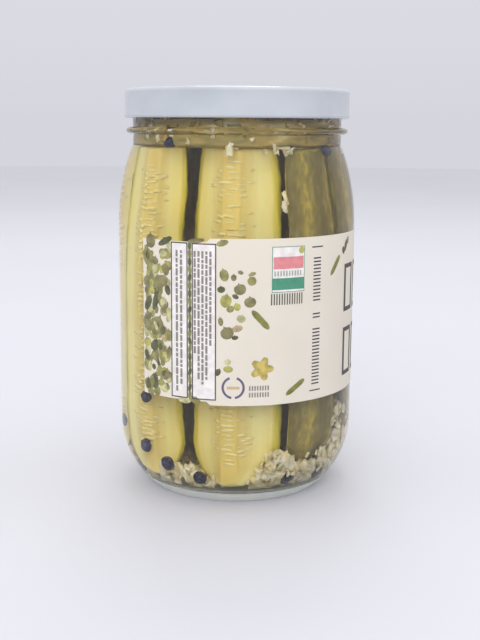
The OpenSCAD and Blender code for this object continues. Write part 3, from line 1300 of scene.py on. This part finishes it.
# %% Place the leaves
LEAF_INKS = ["#a8a35c", "#918c58", "#847e58", "#5d5f42", "#bab788", "#ab9a78"]
LEAVES = [
    # angle, height, width and height in mm, ink
    (-42.2, 96.9, 4.7, 5.3, 2), (-33.6, 97.2, 6.6, 2.4, 3), (-44.6, 91.0, 5.0, 7.4, 1), (-33.6, 92.8, 5.6, 3.6, 1),
    (-32.1, 88.6, 3.5, 3.6, 2), (-44.8, 82.3, 5.1, 4.6, 2), (-37.1, 82.6, 8.1, 4.9, 2), (-44.1, 74.5, 3.1, 6.3, 3),
    (-39.2, 75.8, 2.8, 7.9, 3), (-35.1, 75.7, 3.7, 2.5, 1), (-34.5, 72.1, 3.6, 3.3, 5), (-45.5, 67.2, 3.9, 6.3, 2),
    (-38.7, 66.7, 5.6, 7.5, 2), (-34.3, 64.2, 3.6, 6.3, 5), (-45.2, 60.1, 3.9, 3.4, 0), (-40.2, 59.0, 4.1, 3.0, 3),
    (-38.5, 54.5, 1.5, 8.5, 3), (-42.5, 54.1, 1.6, 8.5, 2), (-34.3, 56.3, 5.7, 5.5, 0), (-40.4, 47.1, 3.5, 3.8, 3),
    (-45.0, 51.6, 3.9, 4.3, 1), (-33.4, 50.5, 4.1, 2.5, 0), (-34.5, 44.4, 4.2, 3.4, 4), (-45.1, 44.7, 5.2, 4.3, 1),
    (-42.8, 42.0, 3.7, 2.6, 2), (-18.0, 97.9, 6.3, 1.8, 2), (-23.7, 40.8, 5.0, 2.1, 4), (-18.6, 41.3, 4.8, 2.5, 1),
    (-8.0, 51.9, 2.0, 2.9, 3), (-6.6, 81.3, 2.8, 2.4, 3), (-5.3, 86.3, 3.2, 4.4, 1), (-1.1, 85.5, 2.0, 2.4, 2),
    (1.9, 87.3, 2.0, 1.4, 2), (7.0, 86.7, 2.8, 1.4, 1), (6.9, 84.3, 3.2, 3.2, 1), (1.7, 81.4, 4.3, 4.0, 2),
    (-0.3, 78.9, 2.4, 1.6, 3), (-4.5, 77.3, 4.0, 4.8, 0), (-2.5, 74.5, 2.8, 2.4, 1), (0.5, 75.3, 2.4, 2.8, 0),
    (6.2, 76.9, 4.2, 3.8, 2), (2.3, 71.1, 3.2, 2.8, 4), (0.6, 67.6, 4.0, 2.4, 5), (-3.9, 66.0, 4.8, 4.5, 2),
    (-0.4, 64.4, 2.4, 1.6, 3), (-6.8, 70.0, 1.8, 3.2, 2), (-3.4, 53.1, 3.4, 2.5, 0), (-6.1, 97.4, 4.3, 2.2, 1),
    (-3.6, 55.7, 2.4, 2.1, 4), (62.4, 94.3, 2.2, 5.0, 3), (59.8, 92.6, 2.0, 3.0, 3), (64.8, 96.0, 2.0, 3.0, 2),
    (30.3, 94.6, 2.4, 2.6, 0),
]


def leaf_groups():
    """For each ink, the places of its leaves on the flat sheet, with a few small ones filled in."""
    groups = [[] for _ in LEAF_INKS]
    fill = random.Random(7)
    far = [(110 + fill.uniform(-9, 9), fill.uniform(44, 94), fill.uniform(2, 4), fill.uniform(2, 5), fill.randrange(6))
           for _ in range(34)]
    far += [(196 + fill.uniform(-14, 14), fill.uniform(44, 94), fill.uniform(2, 4.5), fill.uniform(2, 5),
             fill.randrange(6)) for _ in range(60)]
    edge = [(fill.uniform(-45.6, -31.6), fill.uniform(42.5, 97.5), fill.uniform(1.6, 3.6), fill.uniform(2.0, 4.6),
             fill.choice((0, 1, 1, 2, 2, 2, 3, 4))) for _ in range(112)]
    for angle, height, wide, tall, ink in LEAVES + far + edge:
        lift = 0.028 + 0.022 * fill.random()
        room = (wide / 2 + 0.1) * MM
        along = min(max(flat(angle), flat(LABEL_LEFT) + room), flat(LABEL_RIGHT) - room)
        groups[ink].append(((along, -lift * MM, height * MM), (0, fill.uniform(-0.5, 0.5), 0),
                            (wide * MM, 1, tall * MM)))
    for i in range(20):
        groups[2 + i % 2].append(((flat(-21.0), -0.03 * MM, (43 + 2.8 * i) * MM), (0, fill.uniform(-0.2, 0.2), 0),
                                  (1.3 * MM, 1, 3.4 * MM)))
    return groups


prints = []
for ink, placements in enumerate(leaf_groups()):
    leaves = scatter(f"leaves_{ink}", leaf, placements)
    prints.append((leaves, f"leaf_ink_{ink}"))
print("leaves printed:", sum(len(group) for group in leaf_groups()))

# %% [markdown]
# Two narrow white panels with thin dark frames stand next to the leaves, then a small badge,
# bars, a ring and three gherkins. No words are printed: where a label has small print, there
# are rows of short plain bars, and tall frames stand where a label has a heading.

# %% Place the panels, bars and shapes
def framed(left, right, low, high, line):
    """Four bars that frame a rectangle, given in degrees and mm."""
    a, b, line = flat(left), flat(right), line * MM
    low, high = low * MM, high * MM
    return [flat_bar(a, a + line, low, high, 0.05), flat_bar(b - line, b, low, high, 0.05),
            flat_bar(a, b, low, low + line, 0.05), flat_bar(a, b, high - line, high, 0.05)]


def small_print(angle, low, high, wide, seed, gap=0.45, long=(1.0, 3.4)):
    """A column of short bars between two heights in mm, as turned small print looks."""
    pick = random.Random(seed)
    column = []
    top = high
    while top - long[0] > low:
        bottom = max(low, top - pick.uniform(*long))
        column.append(flat_bar(flat(angle) - wide / 2 * MM, flat(angle) + wide / 2 * MM, bottom * MM, top * MM, 0.055))
        top = bottom - gap
    return column


def tick_row(left, right, low, high, pitch, thick, lift=0.05):
    """A row of upright ticks, which reads as one plain word bar."""
    count = int((flat(right) - flat(left)) / (pitch * MM))
    return [flat_bar(flat(left) + i * pitch * MM, flat(left) + (i * pitch + thick) * MM, low * MM, high * MM, lift)
            for i in range(count)]


def tick_column(angle, wide, low, high, pitch, thick):
    """A column of level ticks, which reads as one plain turned word bar."""
    count = int((high - low) / pitch)
    return [flat_bar(flat(angle) - wide / 2 * MM, flat(angle) + wide / 2 * MM, (low + i * pitch) * MM,
                     (low + i * pitch + thick) * MM, 0.04) for i in range(count)]


def gherkin(angle, height, end_angle, end_height, wide):
    """Three ovals in a row that make one gherkin, printed between two points."""
    start = np.array([flat(angle), height * MM])
    end = np.array([flat(end_angle), end_height * MM])
    run = end - start
    turned = math.atan2(run[0], run[1])
    long = float(np.hypot(*run))
    places = [start + run * s for s in (0.3, 0.5, 0.7)]
    return [((place[0], -0.04 * MM - i * 0.004 * MM, place[1]), (0, turned, 0), (wide * MM, 1, long * 0.62))
            for i, place in enumerate(places)]


panels = [flat_bar(flat(-30.4), flat(-22.0), 41.7 * MM, 97.2 * MM, 0.035),
          flat_bar(flat(-20.0), flat(-8.8), 41.6 * MM, 97.1 * MM, 0.035),
          flat_bar(flat(16.2), flat(31.8), 80.2 * MM, 95.8 * MM, 0.03)]
prints.append((join("panels", panels), "panel_ink"))

frames = framed(-30.4, -22.0, 41.7, 97.2, 0.42) + framed(-20.0, -8.8, 41.6, 97.1, 0.42)
frames += tick_row(15.6, 32.4, 75.6, 79.6, 0.98, 0.42)
for low, high in ((45.5, 67.5), (69.8, 72.8), (76.0, 93.0)):
    frames += tick_column(39.4, 3.5, low, high, 1.25, 0.5)
frames += tick_column(39.4, 5.2, 43.0, 44.0, 1.0, 0.45) + tick_column(39.4, 5.2, 95.0, 96.0, 1.0, 0.45)
for low, high in ((45.3, 63.5), (69.6, 87.3)):
    for left in (61.5, 76.0, 90.5, 105.0, 119.5):
        frames += framed(left, left + 11.5, low, high, 1.6)
frames += framed(134, 184, 44, 94, 0.5)
prints.append((join("frames", frames), "dark_ink"))

fine = []
for i, angle in enumerate((-27.4, -25.2)):
    fine += small_print(angle, 44 + 2 * i, 94.4, 0.85, 30 + i)
for i, angle in enumerate((-18.6, -16.8, -15.0, -13.2, -11.4)):
    fine += small_print(angle, (57, 49, 46, 49, 60)[i], 94.4, 0.8, 40 + i)
for row in (42.9, 45.3):
    fine += tick_row(6.0, 16.8, row, row + 1.7, 0.95, 0.5)
for i in range(12):
    fine += small_print(140 + 3.4 * i, 48 + 2 * (i % 3), 90, 0.85, 60 + i)
prints.append((join("fine_print", fine), "fine_ink"))

badge = [flat_bar(flat(16.6), flat(31.4), 88.2 * MM, 92.4 * MM, 0.05)]
prints.append((join("badge_bar", badge), "pink_ink"))
band = [flat_bar(flat(15.9), flat(32.0), 80.9 * MM, 85.0 * MM, 0.05)] + framed(15.9, 32.0, 80.0, 96.0, 0.22)
prints.append((join("badge_band", band), "green_ink"))
grey = tick_row(17.0, 31.4, 85.7, 87.5, 1.1, 0.5)
prints.append((join("badge_row", grey), "grey_ink"))

gherkins = (gherkin(7.1, 73.9, 14.8, 67.3, 2.2) + gherkin(23.4, 43.0, 32.8, 48.0, 2.0)
            + gherkin(48.8, 84.4, 56.1, 91.1, 2.0) + gherkin(188, 60, 200, 70, 2.4) + gherkin(205, 84, 214, 76, 2.4))
prints.append((scatter("gherkins", oval, gherkins), "gherkin_ink"))
petals = [((flat(11.8), -0.04 * MM, 53.1 * MM), (0, 0.35, 0), (8.6 * MM, 1, 8.6 * MM)),
          ((flat(200.0), -0.04 * MM, 52.0 * MM), (0, 0.1, 0), (9.0 * MM, 1, 9.0 * MM))]
prints.append((scatter("flowers", flower, petals), "flower_ink"))

clear_selection()
bpy.ops.mesh.primitive_circle_add(vertices=36, radius=4.1 * MM, rotation=(math.radians(90), 0, 0))
ring = bpy.context.object
place_in_mesh(ring)
edit(ring)
bpy.ops.mesh.select_all(action="SELECT")
bpy.ops.mesh.extrude_region_move()
bpy.ops.transform.resize(value=(0.8, 0.8, 0.8), center_override=(0, 0, 0))
pick_faces(lambda p, n: abs(math.degrees(math.atan2(p.x, p.z))) < 16 or abs(p.x) < 0.4 * MM and p.z < 0)
bpy.ops.mesh.delete(type="FACE")
bpy.ops.object.mode_set(mode="OBJECT")
ring.location = (flat(-1.1), -0.04 * MM, 46.4 * MM)
place_in_mesh(ring)
prints.append((ring, "navy_ink"))
prints.append((flat_bar(flat(-3.9), flat(1.7), 45.9 * MM, 46.8 * MM, 0.045), "tan_ink"))
print("print shapes:", len(prints))

# %% [markdown]
# Each ink gets its material now, because the join keeps the slots. The inks are matt with a
# slight drift in tone, as water-colour art printed on uncoated paper has.

# %% Mix the inks
def paper_ink(name, dark, light, scale=2.5):
    made, tree = new_material(name)
    drift = add_node(tree, "ShaderNodeTexNoise", Vector=object_place(tree), Scale=1 / (scale * MM), Detail=3.0)
    tint = add_node(tree, "ShaderNodeValToRGB", Fac=drift.outputs[0],
                    stops=[(0.35, linear(dark)), (0.65, linear(light))])
    finish_material(tree, Base_Color=tint.outputs[0], Roughness=0.62)
    return made


def shade(hex_colour, factor):
    """A hex colour made darker or lighter."""
    return "#" + "".join(f"{min(255, round(int(hex_colour[i:i + 2], 16) * factor)):02x}" for i in (1, 3, 5))


INKS = {
    "panel_ink": "#ebe6e2", "dark_ink": "#4c4745", "fine_ink": "#8a847e", "pink_ink": "#dd8b8f",
    "green_ink": "#4e9377", "grey_ink": "#a3a79c", "gherkin_ink": "#7b7d40", "flower_ink": "#b9a75c",
    "navy_ink": "#66607c", "tan_ink": "#d2b48c",
}
INKS.update({f"leaf_ink_{i}": colour for i, colour in enumerate(LEAF_INKS)})
for piece, ink in prints:
    spread = 0.14 if "leaf" in ink or ink in ("gherkin_ink", "flower_ink") else 0.04
    give(piece, paper_ink(ink, shade(INKS[ink], 1 - spread), shade(INKS[ink], 1 + spread)))
print("inks:", len(INKS))

# %% [markdown]
# ### Uncoated label paper
#
# The paper is cream and uncoated, so it has fibres about half a millimetre apart, drawn
# slightly coarser here so that they show. Its tone drifts a little from place to place.

# %% Label paper
def cream_paper():
    made, tree = new_material("cream_uncoated_paper")
    place = object_place(tree)
    fibres = add_node(tree, "ShaderNodeTexNoise", Vector=place, Scale=1 / (0.7 * MM), Detail=4.0)
    bump = add_node(tree, "ShaderNodeBump", Strength=0.25, Distance=0.03 * MM, Height=fibres.outputs[0])
    drift = add_node(tree, "ShaderNodeTexNoise", Vector=place, Scale=1 / (14 * MM), Detail=3.0)
    tint = add_node(tree, "ShaderNodeValToRGB", Fac=drift.outputs[0],
                    stops=[(0.3, linear("#faf4e7")), (0.7, linear("#fdf8ed"))])
    output = finish_material(tree, Base_Color=tint.outputs[0], Roughness=0.6, Normal=bump.outputs[0])
    front = output.inputs["Surface"].links[0].from_socket
    through = add_node(tree, "ShaderNodeBsdfTranslucent", Color=linear("#f4ecd2"))
    both = add_node(tree, "ShaderNodeMixShader", _0=0.3, _1=front, _2=through.outputs[0])
    tree.links.new(both.outputs[0], output.inputs["Surface"])
    return made


give(sheet, cream_paper())
print("made", sheet.data.materials[0].name)

# %% [markdown]
# ### Wrap it round the jar
#
# A bend of 285 degrees turns the flat sheet's length into an arc whose radius is the length
# over the angle. The sheet and prints are bent as one mesh, then split again by material. The
# sheet gets its thickness last, outwards from the glass.

# %% Bend the label
label = join("label_flat", [sheet] + [piece for piece, ink in prints])
apply_modifier(label, "SIMPLE_DEFORM", deform_method="BEND", deform_axis="Z",
               angle=math.radians(LABEL_RIGHT - LABEL_LEFT))
label.location = (0, -BEND_R, 0)
place_in_mesh(label)
edit(label)
bpy.ops.mesh.select_all(action="DESELECT")
label.active_material_index = 0
bpy.ops.object.material_slot_select()
bpy.ops.mesh.separate(type="SELECTED")
bpy.ops.object.mode_set(mode="OBJECT")
label_print = label
label_print.name = "label_print"
label = [piece for piece in bpy.context.selected_objects if piece != label_print][0]
label.name = "paper_label"
for piece in (label, label_print):
    clear_selection()
    piece.select_set(True)
    bpy.context.view_layer.objects.active = piece
    bpy.ops.object.material_slot_remove_unused()
apply_modifier(label, "SOLIDIFY", thickness=0.06 * MM, offset=-1.0)
smooth(label, 30)
smooth(label_print, 30)
for piece in (leaf, flower, oval):
    bpy.data.objects.remove(piece)
for piece in (label, label_print):
    radii = np.hypot(*point_places(piece.data)[:, :2].T)
    print(piece.name, "between radii", round(1000 * radii.min(), 3), "and", round(1000 * radii.max(), 3), "mm")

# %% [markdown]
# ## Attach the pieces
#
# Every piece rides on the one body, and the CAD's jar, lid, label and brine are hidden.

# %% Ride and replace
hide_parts("jar")
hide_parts("lid")
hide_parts("label")
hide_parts("brine")
SLOTS = {
    "glass": [jar],
    "lid_enamel": [lid, seal_ring],
    "label_paper": [label, label_print],
    "brine": [brine, garlic, peppercorns, raft, herbs, chilli, specks] + spears,
}
for slot, pieces in SLOTS.items():
    for piece in pieces:
        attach(piece, "root")
        tidy_name = piece.name
        piece.data.name = tidy_name
print("pieces:", sum(len(pieces) for pieces in SLOTS.values()))

# %% [markdown]
# ## Studio
#
# The jar stands on a plain pale floor under a soft, nearly even light. The world is a pale
# lavender white near the horizon and brighter overhead, and one wide lamp above adds the soft
# shadow at the foot and the bright line on the lid's edge.

# %% Build the floor
clear_selection()
bpy.ops.mesh.primitive_circle_add(vertices=96, radius=3.0, fill_type="NGON", location=(0, 0, -0.02 * MM))
floor = bpy.context.object
floor.name = "floor"
place_in_mesh(floor)
edit(floor)
bpy.ops.mesh.select_all(action="SELECT")
bpy.ops.mesh.inset(thickness=0.6)
clear_selection()
floor_card, floor_tree = new_material("pale_studio_card")
drift = add_node(floor_tree, "ShaderNodeTexNoise", Vector=object_place(floor_tree), Scale=1 / (300 * MM))
tint = add_node(floor_tree, "ShaderNodeValToRGB", Fac=drift.outputs[0],
                stops=[(0.3, linear("#cfcfd6")), (0.7, linear("#d2d2d9"))])
finish_material(floor_tree, Base_Color=tint.outputs[0], Roughness=0.7)
give(floor, floor_card)
print("floor ready")

# %% Light the scene
world = bpy.data.worlds.new("studio")
bpy.context.scene.world = world
world.use_nodes = True
sky = world.node_tree
sky.nodes.clear()
direction = add_node(sky, "ShaderNodeTexCoord").outputs["Generated"]
height = add_node(sky, "ShaderNodeSeparateXYZ", Vector=direction).outputs[2]
glow = add_node(sky, "ShaderNodeValToRGB", Fac=height,
                stops=[(0.0, linear("#d5d5dd")), (0.06, linear("#d9d9e1")), (0.15, linear("#dddce5")),
                       (0.5, linear("#f4f4f8")),
                       (0.9, linear("#ffffff"))])
light = add_node(sky, "ShaderNodeBackground", Color=glow.outputs[0], Strength=1.0)
add_node(sky, "ShaderNodeOutputWorld", Surface=light.outputs[0])


def soft_lamp(name, place, aim, size, power):
    """A wide square lamp that looks at a point."""
    data = bpy.data.lights.new(name, "AREA")
    data.size = size
    data.energy = power
    lamp = bpy.data.objects.new(name, data)
    lamp.location = place
    lamp.rotation_euler = (Vector(aim) - Vector(place)).to_track_quat("-Z", "Y").to_euler()
    bpy.context.scene.collection.objects.link(lamp)
    return lamp


soft_lamp("overhead", (0.1, -0.1, 1.4), (0, 0, 0.05), 1.3, 4)
front = soft_lamp("front", (-0.3, -1.4, 0.9), (0, 0, 0.08), 1.0, 8)
front.visible_glossy = False
soft_lamp("rear", (0.0, 0.75, 1.15), (0, 0, 0.15), 0.5, 3)
bpy.context.scene.view_settings.view_transform = "Standard"
print("lights ready")

# %% [markdown]
# ## Camera
#
# The camera looks slightly down at the jar from arm's length.

# %% Place the camera
camera_data = bpy.data.cameras.new("camera")
camera_data.lens = 57.56
camera_data.sensor_width = 36
camera = bpy.data.objects.new("camera", camera_data)
camera.matrix_world = (Matrix.Translation((0, -0.3935, 0.1375)) @ Matrix.Rotation(math.radians(-0.2285), 4, "Z")
                       @ Matrix.Rotation(math.radians(90 - 10.852), 4, "X")
                       @ Matrix.Rotation(math.radians(0.382), 4, "Z"))
bpy.context.scene.collection.objects.link(camera)
bpy.context.scene.camera = camera
print("camera at", [round(c, 3) for c in camera.location])
